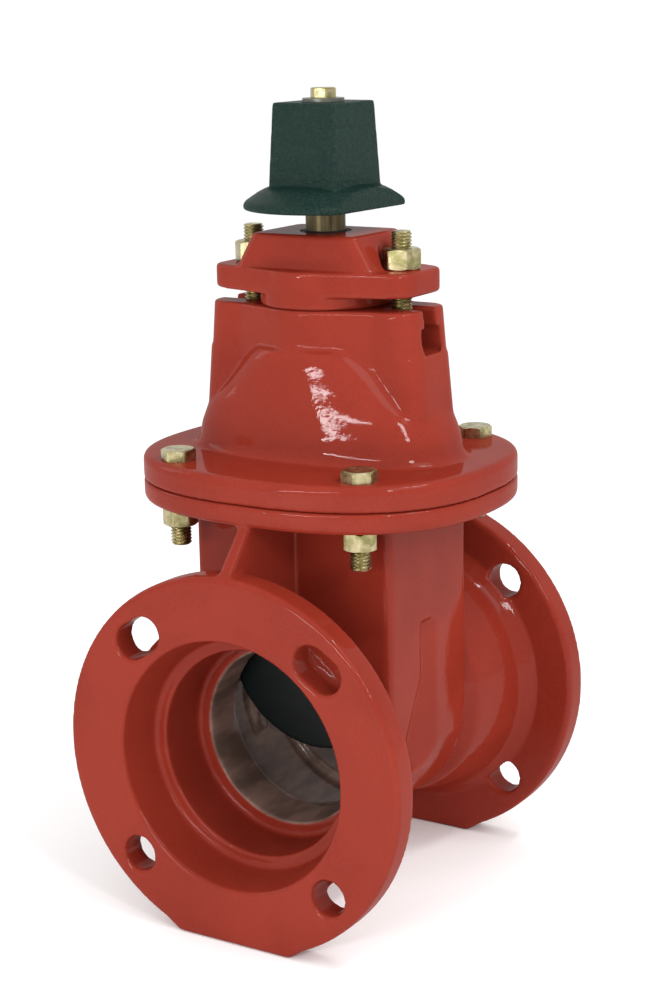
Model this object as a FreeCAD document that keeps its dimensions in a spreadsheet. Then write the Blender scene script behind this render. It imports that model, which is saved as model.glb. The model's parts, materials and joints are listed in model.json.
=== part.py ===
import FreeCAD, Part
import math
import os
import re

import Sketcher

# Buried-service gate valve: resilient wedge, non-rising stem, mechanical-joint ends.
# Origin at the middle of the foot plane on the stem axis, +Z along the stem,
# Y along the flow, X across.  Millimetres.

SIZES = {
    # flow passage and end bells
    "flow_height": 111.8,
    "half_length": 120.25,
    "flange_radius": 115.8,
    "flange_thick": 18.0,
    "flange_rim_round": 2.0,
    "foot_half": 39.0,
    "foot_side": 77.0,
    "foot_drop": 86.0,
    "hole_offset": 67.35,
    "hole_radius": 11.1,
    "slot_shift_x": 8.95,
    "slot_shift_z": 5.65,
    "mouth_radius": 77.0,
    "gland_radius": 71.5,
    "gland_depth": 27.5,
    "socket_radius": 64.0,
    "socket_depth": 62.5,
    "port_radius": 55.0,
    "bell_radius": 83.0,
    "barrel_radius": 73.5,
    "barrel_end": 64.0,
    "neck_radius": 63.5,
    "neck_start": 73.0,
    # wedge chamber
    "chamber_half_x": 69.0,
    "chamber_half_y": 47.5,
    "chamber_round": 4.0,
    "bowl_radius": 70.0,
    "cavity_half_x": 59.5,
    "cavity_half_y": 39.5,
    "cavity_radius": 61.0,
    "seat_half": 28.5,
    "seat_slope": 0.07,
    "seat_reach": 62.0,
    "rail_half": 6.0,
    "rail_inner": 55.0,
    "rail_bottom": 88.0,
    "web_half": 4.0,
    "web_reach": 98.0,
    "web_foot": 117.3,
    "web_foot_height": 229.5,
    "barrel_round": 6.0,
    "side_pocket_head": 181.0,
    "side_pocket_bend": 148.0,
    "side_pocket_foot": 88.0,
    "side_pocket_edge": 8.6,
    "side_pocket_left": -10.5,
    "side_pocket_head_valley": -6.5,
    "side_pocket_head_depth": 3.5,
    "side_pocket_bend_valley": -3.5,
    "side_pocket_bend_depth": 4.8,
    "side_pocket_foot_left": -44.0,
    "side_pocket_foot_valley": -24.0,
    "side_pocket_foot_depth": 8.0,
    # bonnet joint
    "joint_height": 265.2,
    "cover_flange_thick": 16.0,
    "body_flange_thick": 13.0,
    "cover_half_x": 113.0,
    "cover_half_y": 98.4,
    "cover_exponent": 2.43,
    "cover_round": 4.0,
    "bolt_x": 63.3,
    "bolt_y": 70.5,
    "bolt_radius": 6.35,
    "bolt_hole_radius": 7.2,
    "hex_half_flats": 9.525,
    "bolt_head_height": 6.8,
    "bolt_end": 229.0,
    "nut_height": 11.1,
    "thread_gap": 0.1,
    "gasket_half_x": 66.0,
    "gasket_half_y": 46.5,
    "gasket_half_width": 2.5,
    "gasket_corner": 12.0,
    "gasket_height": 4.0,
    # bonnet
    "dome_floor": 300.0,
    "bonnet_top": 371.0,
    "lug_foot": 293.0,
    "lug_foot_half_x": 78.6,
    "lug_foot_half_y": 27.0,
    "lug_step_half_x": 74.4,
    "lug_step": 0.9,
    "lug_half_x": 71.0,
    "lug_half_y": 26.0,
    "lug_round": 14.0,
    "boss_radius": 40.0,
    "fairing_start": 16.0,
    "lug_fairing": 46.0,
    "ear_fairing": 56.0,
    "dome_cavity_top": 334.0,
    "bonnet_mouth_half_x": 61.0,
    "bonnet_mouth_half_y": 41.0,
    "pocket_floor": 343.5,
    "pocket_roof": 360.0,
    "pocket_half": 11.5,
    "shank_slot_half": 7.2,
    "plate_bolt_x": 52.0,
    # stuffing plate
    "ear_bottom": 379.0,
    "ear_top": 393.5,
    "ear_half_x": 69.0,
    "ear_half_y": 26.0,
    "ear_edge_round": 2.0,
    "hub_top": 414.0,
    "hub_top_half": 36.0,
    "hub_foot_half": 48.0,
    "hub_half_y": 29.0,
    "hub_round": 2.5,
    "hub_side_round": 7.0,
    "relief_radius": 13.5,
    "plate_bolt_end": 416.0,
    "plate_nut_height": 12.4,
    "plate_nut_half_flats": 10.5,
    "spigot_radius": 20.0,
    "spigot_bottom": 366.1,
    # stem
    "stem_bottom": 176.0,
    "screw_radius": 13.0,
    "stem_radius": 12.0,
    "collar_radius": 19.0,
    "collar_bottom": 355.1,
    "collar_top": 363.0,
    "stem_shoulder": 441.0,
    "stem_top": 484.0,
    "square_half": 8.4,
    "running_gap": 0.06,
    "washer_thick": 3.0,
    "counterbore_radius": 20.2,
    "counterbore_floor": 352.0,
    "bushing_radius": 17.0,
    "bushing_bottom": 345.5,
    "seal_radius": 1.6,
    "lower_seal_height": 340.5,
    "first_seal_height": 376.0,
    "second_seal_height": 386.0,
    "wiper_bottom": 406.0,
    "wiper_radius": 15.0,
    "face_seal_radius": 28.0,
    # operating nut
    "key_top": 490.0,
    "key_top_half": 21.9,
    "key_base": 442.0,
    "key_base_half": 24.6,
    "skirt_radius": 49.0,
    "skirt_rim_top": 430.3,
    "skirt_bottom": 427.5,
    "skirt_cut": 34.0,
    "key_round": 1.2,
    "key_turn": -3.5,
    "cap_washer_radius": 12.5,
    "cap_washer_thick": 2.0,
    "cap_bolt_radius": 4.76,
    "cap_bolt_half_flats": 7.14,
    "cap_head_height": 6.0,
    "cap_bolt_end": 468.0,
    # wedge
    "wedge_lift": 40.0,
    "wedge_half_x": 57.5,
    "wedge_radius": 58.0,
    "wedge_shoulder": 45.0,
    "wedge_slope_end": 84.0,
    "wedge_top": 90.0,
    "wedge_top_half_x": 30.0,
    "wedge_top_half_y": 26.0,
    "seat_gap": 0.3,
    "rubber_thick": 3.0,
    "stem_hole_radius": 14.2,
    "stem_hole_bottom": -52.5,
    "nut_bottom": 64.2,
    "nut_half_x": 20.0,
    "nut_half_y": 18.0,
    "guide_bottom": -8.0,
    "guide_slot_bottom": -20.0,
    "guide_slot_top": 51.0,
    "guide_half": 8.0,
    "guide_floor": 53.7,
    "guide_wall": 1.0,
}

# Outside of the bonnet dome: height, half length, half width of each oval.
DOME_STATIONS = (
    (269.0, 88.0, 48.4),
    (281.2, 90.0, 50.0),
    (285.0, 87.4, 48.2),
    (293.5, 85.4, 47.3),
    (302.0, 82.0, 46.5),
    (308.0, 78.8, 46.0),
    (314.0, 73.6, 45.6),
    (320.0, 67.0, 45.2),
    (328.5, 58.6, 44.7),
    (336.5, 51.0, 44.2),
    (344.0, 43.5, 43.4),
    (347.0, 40.6, 41.6),
)

# Inside of the dome, kept one wall thickness in from the outside.
ROOM_STATIONS = (
    (264.2, 81.0, 41.2),
    (285.0, 80.2, 40.8),
    (293.5, 78.0, 39.8),
    (302.0, 74.2, 39.0),
    (308.0, 70.2, 38.4),
    (314.0, 64.0, 38.0),
    (320.0, 56.6, 37.6),
    (328.5, 47.8, 37.0),
    (334.0, 42.0, 36.6),
)

TURN_TO = {
    "Z": FreeCAD.Rotation(),
    "Y": FreeCAD.Rotation(FreeCAD.Vector(1, 0, 0), -90),
    "X": FreeCAD.Rotation(FreeCAD.Vector(0, 1, 0), 90),
}

# Sketch planes by the direction they are pushed along: sketch x and y fall on
# X and Z for "Y", on Y and Z for "X", on X and Y for "Z".
SKETCH_TURN = {
    "Y": FreeCAD.Rotation(FreeCAD.Vector(1, 0, 0), 90),
    "X": FreeCAD.Rotation(0.5, 0.5, 0.5, 0.5),
    "Z": FreeCAD.Rotation(),
}

doc = FreeCAD.newDocument("gate_valve")
sheet = doc.addObject("Spreadsheet::Sheet", "Sheet")


def fill_sheet():
    for row, (alias, value) in enumerate(SIZES.items(), 1):
        sheet.set("A%d" % row, alias)
        sheet.set("B%d" % row, str(value))
        sheet.setAlias("B%d" % row, alias)
    doc.recompute()


def size(alias):
    return float(sheet.get(alias))


def formula(text):
    return re.sub(r"[a-z_]+", lambda word: ("Sheet." if word[0] in SIZES else "") + word[0], text)


def bind(feature, **formulas):
    for prop, text in formulas.items():
        feature.setExpression(prop, formula(text))
    return feature


def place(feature, at, turn=FreeCAD.Rotation()):
    feature.Placement = FreeCAD.Placement(FreeCAD.Vector(), turn)
    for letter, text in zip("xyz", at):
        feature.setExpression("Placement.Base." + letter, formula(text))
    return feature


def cylinder(name, radius, height, at, axis="Z"):
    rod = doc.addObject("Part::Cylinder", name)
    return bind(place(rod, at, TURN_TO[axis]), Radius=radius, Height=height)


def box(name, low, high):
    block = doc.addObject("Part::Box", name)
    place(block, low)
    spans = ["(%s) - (%s)" % (top, bottom) for bottom, top in zip(low, high)]
    return bind(block, Length=spans[0], Width=spans[1], Height=spans[2])


def ring_cord(name, radius, cord, height):
    cord_ring = doc.addObject("Part::Torus", name)
    return bind(place(cord_ring, ("0", "0", height)), Radius1=radius, Radius2=cord)


def hexagon(name, half_flats, low, high, at, turn=0.0):
    prism = doc.addObject("Part::Prism", name)
    prism.Polygon = 6
    place(prism, (at[0], at[1], low), FreeCAD.Rotation(FreeCAD.Vector(0, 0, 1), turn))
    return bind(prism, Circumradius="2 / sqrt(3) * " + half_flats, Height="(%s) - (%s)" % (high, low))


def joined(name, pieces):
    union = doc.addObject("Part::MultiFuse", name)
    union.Shapes = pieces
    union.Refine = True
    return union


def group(name, pieces):
    bundle = doc.addObject("Part::Compound", name)
    bundle.Links = pieces
    return bundle


def shared(name, pieces):
    overlap = doc.addObject("Part::MultiCommon", name)
    overlap.Shapes = pieces
    return overlap


def cut(name, base, tools):
    remainder = doc.addObject("Part::Cut", name)
    remainder.Base = base
    remainder.Tool = tools[0] if len(tools) == 1 else joined(name + "_tools", tools)
    remainder.Refine = True
    return remainder


def rounded(name, base, alias, chosen):
    doc.recompute()
    radius = size(alias)
    edges = [n for n, edge in enumerate(base.Shape.Edges, 1) if chosen(edge)]
    fillet = doc.addObject("Part::Fillet", name)
    fillet.Base = base
    fillet.Edges = [(number, radius, radius) for number in edges]
    return fillet


def upright(edge):
    if not isinstance(edge.Curve, Part.Line):
        return False
    return abs(edge.Curve.Direction.z) > 0.999


def level(edge):
    return edge.BoundBox.ZLength < 0.001


def hold(sketch, kind, item, point, text):
    sketch.addConstraint(Sketcher.Constraint(kind, -1, 1, item, point, 10.0))
    sketch.setExpression("Constraints[%d]" % (sketch.ConstraintCount - 1), formula(text))


def outline(sketch, corners):
    """Closed polygon whose every corner is held by two sheet-bound distances."""
    count = len(corners)
    spread = [
        FreeCAD.Vector(50 * math.cos(2 * math.pi * n / count), 50 * math.sin(2 * math.pi * n / count), 0)
        for n in range(count)
    ]
    for n in range(count):
        sketch.addGeometry(Part.LineSegment(spread[n], spread[(n + 1) % count]))
    for n in range(count):
        sketch.addConstraint(Sketcher.Constraint("Coincident", n, 2, (n + 1) % count, 1))
    for n, (across, up) in enumerate(corners):
        hold(sketch, "DistanceX", n, 1, across)
        hold(sketch, "DistanceY", n, 1, up)


def both_sides(half):
    """Mirror a half outline, listed from bottom to top on the + side, across the vertical."""
    return half + [("-(%s)" % across, up) for across, up in reversed(half)]


def turned(name, corners, flow=False):
    """Body of revolution: about the stem axis, or about the flow axis when flow is set."""
    body = doc.addObject("PartDesign::Body", name)
    sketch = body.newObject("Sketcher::SketchObject", name + "_profile")
    wanted = "XY_Plane" if flow else "XZ_Plane"
    plane = [item for item in body.Origin.OriginFeatures if item.Role == wanted][0]
    sketch.AttachmentSupport = (plane, [""])
    sketch.MapMode = "FlatFace"
    outline(sketch, corners)
    turning = body.newObject("PartDesign::Revolution", name + "_turn")
    turning.Profile = sketch
    turning.ReferenceAxis = (sketch, ["V_Axis"])
    turning.Angle = 360
    body.Tip = turning
    if flow:
        body.setExpression("Placement.Base.z", formula("flow_height"))
    return body


def pushed(name, axis, corners, half_depth):
    """Polygon pushed half_depth both ways along an axis."""
    sketch = doc.addObject("Sketcher::SketchObject", name + "_outline")
    sketch.Placement = FreeCAD.Placement(FreeCAD.Vector(), SKETCH_TURN[axis])
    outline(sketch, corners)
    return push(name, sketch, half_depth)


def push(name, sketch, half_depth):
    prism = doc.addObject("Part::Extrusion", name)
    prism.Base = sketch
    prism.DirMode = "Normal"
    prism.Solid = True
    prism.Symmetric = True
    return bind(prism, LengthFwd="2 * (%s)" % half_depth)


def arch(name, half_width, radius, centre, top, half_depth):
    """Flat-topped plate with upright sides and a round bottom, standing across the flow."""
    sketch = doc.addObject("Sketcher::SketchObject", name + "_outline")
    sketch.Placement = FreeCAD.Placement(FreeCAD.Vector(), SKETCH_TURN["Y"])
    circle = Part.Circle(FreeCAD.Vector(0, 110, 0), FreeCAD.Vector(0, 0, 1), 62)
    sketch.addGeometry(Part.ArcOfCircle(circle, math.radians(190), math.radians(350)))
    side = 60.0
    sketch.addGeometry(Part.LineSegment(FreeCAD.Vector(side, 100, 0), FreeCAD.Vector(side, 200, 0)))
    sketch.addGeometry(Part.LineSegment(FreeCAD.Vector(side, 200, 0), FreeCAD.Vector(-side, 200, 0)))
    sketch.addGeometry(Part.LineSegment(FreeCAD.Vector(-side, 200, 0), FreeCAD.Vector(-side, 100, 0)))
    sketch.addConstraint(Sketcher.Constraint("Coincident", 0, 2, 1, 1))
    sketch.addConstraint(Sketcher.Constraint("Coincident", 1, 2, 2, 1))
    sketch.addConstraint(Sketcher.Constraint("Coincident", 2, 2, 3, 1))
    sketch.addConstraint(Sketcher.Constraint("Coincident", 3, 2, 0, 1))
    sketch.addConstraint(Sketcher.Constraint("PointOnObject", 0, 3, -2))
    sketch.addConstraint(Sketcher.Constraint("Vertical", 1))
    sketch.addConstraint(Sketcher.Constraint("Vertical", 3))
    sketch.addConstraint(Sketcher.Constraint("Radius", 0, 62))
    sketch.setExpression("Constraints[%d]" % (sketch.ConstraintCount - 1), formula(radius))
    hold(sketch, "DistanceY", 0, 3, centre)
    hold(sketch, "DistanceX", 1, 2, half_width)
    hold(sketch, "DistanceY", 1, 2, top)
    hold(sketch, "DistanceX", 3, 1, "-(%s)" % half_width)
    hold(sketch, "DistanceY", 3, 1, top)
    return push(name, sketch, half_depth)


def oval(half_x, half_y, height):
    """Squarish oval at one height, as a closed wire."""
    count = 48
    power = 2.0 / size("cover_exponent")
    points = []
    for n in range(count):
        angle = 2 * math.pi * n / count
        cosine = math.cos(angle)
        sine = math.sin(angle)
        across = math.copysign(abs(cosine) ** power, cosine) * half_x
        along = math.copysign(abs(sine) ** power, sine) * half_y
        points.append(FreeCAD.Vector(across, along, height))
    curve = Part.BSplineCurve()
    curve.interpolate(Points=points, PeriodicFlag=True)
    return Part.Wire(curve.toShape())


def cover_plate(name, low, high, round_low):
    """Squarish oval plate of the bonnet joint, one face edge rounded."""
    outer = oval(size("cover_half_x"), size("cover_half_y"), low)
    blank = Part.Face(outer).extrude(FreeCAD.Vector(0, 0, high - low))
    edge_height = low if round_low else high
    rim = [edge for edge in blank.Edges if abs(edge.BoundBox.Center.z - edge_height) < 0.01]
    plate = doc.addObject("Part::Feature", name)
    plate.Shape = blank.makeFillet(size("cover_round"), rim)
    return plate


def rounded_ring(name, corner, bottom, top, slack="0"):
    """Rectangular ring with rounded corners lying flat around the stem axis."""
    parts = []
    for label, sign in (("outer", "+"), ("inner", "-")):
        reach = "(gasket_half_width + %s)" % slack
        half_x = "gasket_half_x %s %s" % (sign, reach)
        half_y = "gasket_half_y %s %s" % (sign, reach)
        block = box(
            "%s_%s_block" % (name, label),
            ("-(%s)" % half_x, "-(%s)" % half_y, bottom),
            (half_x, half_y, top),
        )
        parts.append(rounded("%s_%s" % (name, label), block, corner, upright))
    return cut(name, parts[0], [parts[1]])


def cover_bolt_spots():
    return [(sx + "bolt_x", sy + "bolt_y") for sx in ("", "-") for sy in ("", "-")]


def end_profile(stations):
    """Mirror (radius, depth from the end face) stations about the middle of the valve."""
    near = [(radius, "-half_length + (%s)" % depth) for radius, depth in stations]
    far = [(radius, "half_length - (%s)" % depth) for radius, depth in reversed(stations)]
    return near + far


def end_flange(name, side):
    """Mechanical-joint flange with its foot; the inlet has slots as upper holes."""
    low = "-half_length" if side < 0 else "half_length - flange_thick"
    disc = cylinder(name + "_disc", "flange_radius", "flange_thick", ("0", low, "flow_height"), "Y")
    middle = "%s + flange_thick / 2" % low
    foot = pushed(
        name + "_foot",
        "Y",
        both_sides([("foot_half", "0"), ("foot_side", "flow_height - foot_drop"), ("30", "flow_height")]),
        "flange_thick / 2",
    )
    place(foot, ("0", middle, "0"))
    whole = joined(name + "_whole", [disc, foot])
    room = box(name + "_room", ("-200", "-200", "0"), ("200", "200", "300"))
    trimmed = shared(name + "_trimmed", [whole, room])
    reach = size("flange_radius") - 12

    def rim(edge):
        centre = edge.BoundBox.Center
        across = max(abs(edge.BoundBox.XMax), abs(edge.BoundBox.XMin))
        flat = edge.BoundBox.YLength < 0.01
        return flat and (across > size("foot_half") - 1) and centre.Length > 0 and across < reach + 13

    return rounded(name, trimmed, "flange_rim_round", rim)


def flange_holes(name, side):
    low = "-half_length - 1" if side < 0 else "half_length - flange_thick - 1"
    length = "flange_thick + 2"
    tools = []
    for column, sx in (("right", ""), ("left", "-")):
        across = sx + "hole_offset"
        for row, sz in (("upper", "+"), ("lower", "-")):
            height = "flow_height %s hole_offset" % sz
            label = "%s_%s_%s" % (name, row, column)
            tools.append(cylinder(label, "hole_radius", length, (across, low, height), "Y"))
        if side < 0:
            tools += slot_tools("%s_slot_%s" % (name, column), sx, low, length)
    return tools


def slot_tools(name, sx, low, length):
    """Stretches an upper hole inward and upward into a slot."""
    inner_x = "hole_offset - slot_shift_x"
    inner_z = "flow_height + hole_offset + slot_shift_z"
    end = cylinder(name + "_end", "hole_radius", length, ("%s(%s)" % (sx, inner_x), low, inner_z), "Y")
    step = "sqrt(slot_shift_x ^ 2 + slot_shift_z ^ 2)"
    side_x = "hole_radius * slot_shift_z / %s" % step
    side_z = "hole_radius * slot_shift_x / %s" % step
    outer_z = "flow_height + hole_offset"
    corners = [
        ("%s(hole_offset + %s)" % (sx, side_x), "%s + %s" % (outer_z, side_z)),
        ("%s(hole_offset - %s)" % (sx, side_x), "%s - %s" % (outer_z, side_z)),
        ("%s(%s - %s)" % (sx, inner_x, side_x), "%s - %s" % (inner_z, side_z)),
        ("%s(%s + %s)" % (sx, inner_x, side_x), "%s + %s" % (inner_z, side_z)),
    ]
    bridge = pushed(name + "_bridge", "Y", corners, "flange_thick / 2 + 1")
    place(bridge, ("0", "-half_length + flange_thick / 2", "0"))
    return [end, bridge]


def side_pocket(name, sx):
    """V-shaped recess in the middle of a chamber side, straight above and leaning toward the inlet below."""
    wall = "%schamber_half_x" % sx
    lip = "%s(chamber_half_x + 5)" % sx
    sections = []
    lefts = {"foot": "side_pocket_foot_left", "bend": "side_pocket_left", "head": "side_pocket_left"}
    for level, left in lefts.items():
        floor = "%s(chamber_half_x - side_pocket_%s_depth)" % (sx, level)
        sketch = doc.addObject("Sketcher::SketchObject", "%s_%s" % (name, level))
        outline(sketch, [
            (wall, left), (floor, "side_pocket_%s_valley" % level), (wall, "side_pocket_edge"),
            (lip, "side_pocket_edge"), (lip, left),
        ])
        place(sketch, ("0", "0", "side_pocket_" + level))
        sections.append(sketch)
    loft = doc.addObject("Part::Loft", name)
    loft.Sections = sections
    loft.Solid = True
    loft.Ruled = True
    return loft


def web(name, side):
    """Rib between a flange back and the underside of the bonnet joint."""
    sign = "-" if side < 0 else ""
    back = "%s(half_length - 3)" % sign
    corners = [
        ("%s(chamber_half_y - 2)" % sign, "flow_height"),
        (back, "flow_height"),
        (back, "flow_height + flange_radius - 1"),
        ("%s(web_foot)" % sign, "web_foot_height"),
        ("%s(web_reach)" % sign, "joint_height - body_flange_thick - 1"),
        ("%s(web_reach - 9)" % sign, "joint_height - 4"),
        ("%s(chamber_half_y - 2)" % sign, "joint_height - 4"),
    ]
    return pushed(name, "X", corners, "web_half")


def cavity(name):
    """Room for the wedge inside the body: sloped seats below, wide above."""
    plate = arch(
        name + "_plate", "cavity_half_x", "cavity_radius", "flow_height", "joint_height + 2", "60"
    )
    top = "flow_height + seat_reach"
    limits = pushed(
        name + "_limits",
        "X",
        both_sides([
            ("seat_half - seat_slope * seat_reach", "flow_height - seat_reach"),
            ("seat_half + seat_slope * seat_reach", top),
            ("cavity_half_y", top + " + 7"),
            ("cavity_half_y", "joint_height + 2"),
        ]),
        "100",
    )
    return shared(name, [plate, limits])


def rail(name, sx):
    inner = sx + "rail_inner"
    outer = sx + "(cavity_half_x + 2)"
    low, high = (inner, outer) if sx == "" else (outer, inner)
    return box(name, (low, "-rail_half", "rail_bottom"), (high, "rail_half", "joint_height - 4"))


def chamber_block():
    """Upright box with rounded corners whose bottom is a bowl around the flow axis."""
    upright_box = box(
        "chamber_box",
        ("-chamber_half_x", "-chamber_half_y", "0"),
        ("chamber_half_x", "chamber_half_y", "joint_height - 8"),
    )
    sides = rounded("chamber_sides", upright_box, "chamber_round", upright)
    bowl = turned(
        "bowl",
        end_profile([
            ("0", "half_length - chamber_half_y"),
            ("bowl_radius - 7", "half_length - chamber_half_y"),
            ("bowl_radius - 2", "half_length - chamber_half_y + 2"),
            ("bowl_radius", "half_length - chamber_half_y + 7"),
        ]),
        flow=True,
    )
    above = box(
        "above_bowl", ("-100", "-100", "flow_height"), ("100", "100", "joint_height")
    )
    return shared("chamber", [sides, joined("bowl_and_above", [bowl, above])])


def valve_body():
    barrel_profile = turned(
        "barrel_profile",
        end_profile([
            ("0", "2"),
            ("bell_radius + 8", "2"),
            ("bell_radius + 8", "flange_thick"),
            ("bell_radius", "flange_thick + 8"),
            ("barrel_radius", "barrel_end"),
            ("neck_radius", "neck_start"),
        ]),
        flow=True,
    )

    def behind_flange(edge):
        depth = size("half_length") - abs(edge.BoundBox.Center.y)
        return edge.BoundBox.YLength < 0.01 and size("flange_thick") + 1 < depth < size("neck_start") - 1

    barrel = rounded("barrel", barrel_profile, "barrel_round", behind_flange)
    chamber = chamber_block()
    joint = size("joint_height")
    plate = cover_plate("body_cover_flange", joint - size("body_flange_thick"), joint, True)
    flanges = [end_flange("inlet_flange", -1), end_flange("outlet_flange", 1)]
    webs = [web("inlet_web", -1), web("outlet_web", 1)]
    whole = joined("body_casting", [barrel, chamber, plate] + flanges + webs)
    bore = turned(
        "bore",
        end_profile([
            ("0", "-2"),
            ("mouth_radius + 0.4", "-2"),
            ("gland_radius", "gland_depth"),
            ("socket_radius", "gland_depth"),
            ("socket_radius", "socket_depth"),
            ("port_radius", "socket_depth"),
        ]),
        flow=True,
    )
    tools = [bore, cavity("wedge_room")]
    tools += flange_holes("inlet_hole", -1) + flange_holes("outlet_hole", 1)
    tools += [side_pocket("pocket_right", ""), side_pocket("pocket_left", "-")]
    tools.append(rounded_ring(
        "gasket_groove", "gasket_corner", "joint_height - gasket_height - 0.2", "joint_height + 1", "0.3"
    ))
    for n, (across, along) in enumerate(cover_bolt_spots()):
        low = "joint_height - cover_flange_thick - 1"
        hole = ("cover_flange_thick + 2", (across, along, low))
        tools.append(cylinder("body_bolt_hole_%d" % n, "bolt_hole_radius", hole[0], hole[1]))
    hollow = cut("body_hollow", whole, tools)
    return joined("valve_body", [hollow, rail("rail_right", ""), rail("rail_left", "-")])


def oval_loft(name, stations):
    """Smooth solid through ovals of (height, half length, half width)."""
    loft = doc.addObject("Part::Feature", name)
    loft.Shape = Part.makeLoft([oval(across, along, height) for height, across, along in stations], True)
    return loft


def rounded_frame(half_x, half_y, radius, height):
    """Rectangle with rounded corners, flat at one height, as a closed wire."""
    middle = radius * (1 - math.sqrt(0.5))
    corner_x = half_x - radius
    corner_y = half_y - radius
    edges = []
    for sx, sy in ((1, 1), (-1, 1), (-1, -1), (1, -1)):
        side = FreeCAD.Vector(sx * half_x, sy * corner_y, height)
        tip = FreeCAD.Vector(sx * (half_x - middle), sy * (half_y - middle), height)
        front = FreeCAD.Vector(sx * corner_x, sy * half_y, height)
        first, last = (side, front) if sx * sy > 0 else (front, side)
        if edges:
            edges.append(Part.LineSegment(edges[-1].EndPoint, first))
        edges.append(Part.Arc(first, tip, last))
    edges.append(Part.LineSegment(edges[-1].EndPoint, edges[0].StartPoint))
    return Part.Wire([edge.toShape() for edge in edges])


def tapered_block(name, low, high):
    """Upright block between two (half length, half width, height) frames with rounded corners."""
    radius = size("lug_round")
    frames = [rounded_frame(across, along, radius, height) for across, along, height in (low, high)]
    block = doc.addObject("Part::Feature", name)
    block.Shape = Part.makeLoft(frames, True, True)
    return block


def fairing(name, reach, low, high):
    """Slanted sides that lead from a round boss to the flat sides of the ears or lugs beside it."""
    boss_side = "sqrt(boss_radius ^ 2 - fairing_start ^ 2)"
    corners = both_sides([(reach, "-lug_half_y"), (reach, "lug_half_y")])
    corners.insert(2, ("fairing_start", boss_side))
    corners.insert(3, ("-fairing_start", boss_side))
    corners += [("-fairing_start", "-" + boss_side), ("fairing_start", "-" + boss_side)]
    sketch = doc.addObject("Sketcher::SketchObject", name + "_outline")
    outline(sketch, corners)
    place(sketch, ("0", "0", "((%s) + (%s)) / 2" % (low, high)))
    return push(name, sketch, "((%s) - (%s)) / 2" % (high, low))


def bonnet_lugs():
    """Lugs that take the plate bolts, a little wider below the bolt pockets than beside them."""
    foot = (size("lug_foot_half_x"), size("lug_foot_half_y"), size("lug_foot"))
    step = (size("lug_step_half_x"), size("lug_half_y"), size("pocket_floor"))
    above = (step[0] - size("lug_step"), step[1], step[2] - 1)
    top = (size("lug_half_x"), size("lug_half_y"), size("bonnet_top"))
    return [tapered_block("lugs_below", foot, step), tapered_block("lugs_above", above, top)]


def bolt_pocket(name, sx):
    """T-slot in a bonnet lug: wide for the bolt head below, narrow for the shank above."""
    tools = []
    for label, half, inner, low, high in (
        ("head", "pocket_half", "plate_bolt_x - 13", "pocket_floor", "pocket_roof"),
        ("shank", "shank_slot_half", "plate_bolt_x - 8", "pocket_roof - 1", "bonnet_top + 1"),
    ):
        ends = ["%s(%s)" % (sx, inner), "%s(lug_half_x + 2)" % sx]
        if sx:
            ends.reverse()
        tools.append(box("%s_%s" % (name, label), (ends[0], "-" + half, low), (ends[1], half, high)))
    return tools


def bonnet_room():
    """Space that takes the open wedge, with a mouth at the joint that stays inside the gasket."""
    hollow = oval_loft("bonnet_hollow", ROOM_STATIONS)
    mouth = box(
        "bonnet_mouth",
        ("-bonnet_mouth_half_x", "-bonnet_mouth_half_y", "joint_height - 5"),
        ("bonnet_mouth_half_x", "bonnet_mouth_half_y", "joint_height + cover_flange_thick"),
    )
    above = box(
        "room_above_flange",
        ("-100", "-100", "joint_height + cover_flange_thick - 0.1"),
        ("100", "100", "bonnet_top"),
    )
    return shared("bonnet_room", [hollow, joined("room_limit", [mouth, above])])


def bonnet():
    joint = size("joint_height")
    plate = cover_plate("bonnet_flange", joint + 0.1, joint + size("cover_flange_thick"), False)
    shell = oval_loft("bonnet_shell", DOME_STATIONS)
    boss = cylinder("boss", "boss_radius", "bonnet_top - dome_floor", ("0", "0", "dome_floor"))
    sides = fairing("neck_fairing", "lug_fairing", "dome_floor", "bonnet_top")
    whole = joined("bonnet_casting", [plate, shell, boss, sides] + bonnet_lugs())
    room = bonnet_room()
    bore = turned("bonnet_bore", [
        ("0", "dome_cavity_top - 5"),
        ("screw_radius + running_gap", "dome_cavity_top - 5"),
        ("screw_radius + running_gap", "lower_seal_height - seal_radius"),
        ("screw_radius + 2 * seal_radius + 0.1", "lower_seal_height - seal_radius"),
        ("screw_radius + 2 * seal_radius + 0.1", "lower_seal_height + seal_radius"),
        ("screw_radius + running_gap", "lower_seal_height + seal_radius"),
        ("screw_radius + running_gap", "bushing_bottom"),
        ("bushing_radius", "bushing_bottom"),
        ("bushing_radius", "counterbore_floor"),
        ("counterbore_radius", "counterbore_floor"),
        ("counterbore_radius", "bonnet_top + 1"),
        ("0", "bonnet_top + 1"),
    ])
    tools = [room, bore] + bolt_pocket("pocket_a", "") + bolt_pocket("pocket_b", "-")
    for n, (across, along) in enumerate(cover_bolt_spots()):
        tools.append(cylinder(
            "bonnet_bolt_hole_%d" % n, "bolt_hole_radius", "cover_flange_thick + 2",
            (across, along, "joint_height - 1"),
        ))
    return cut("bonnet", whole, tools)


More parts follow.
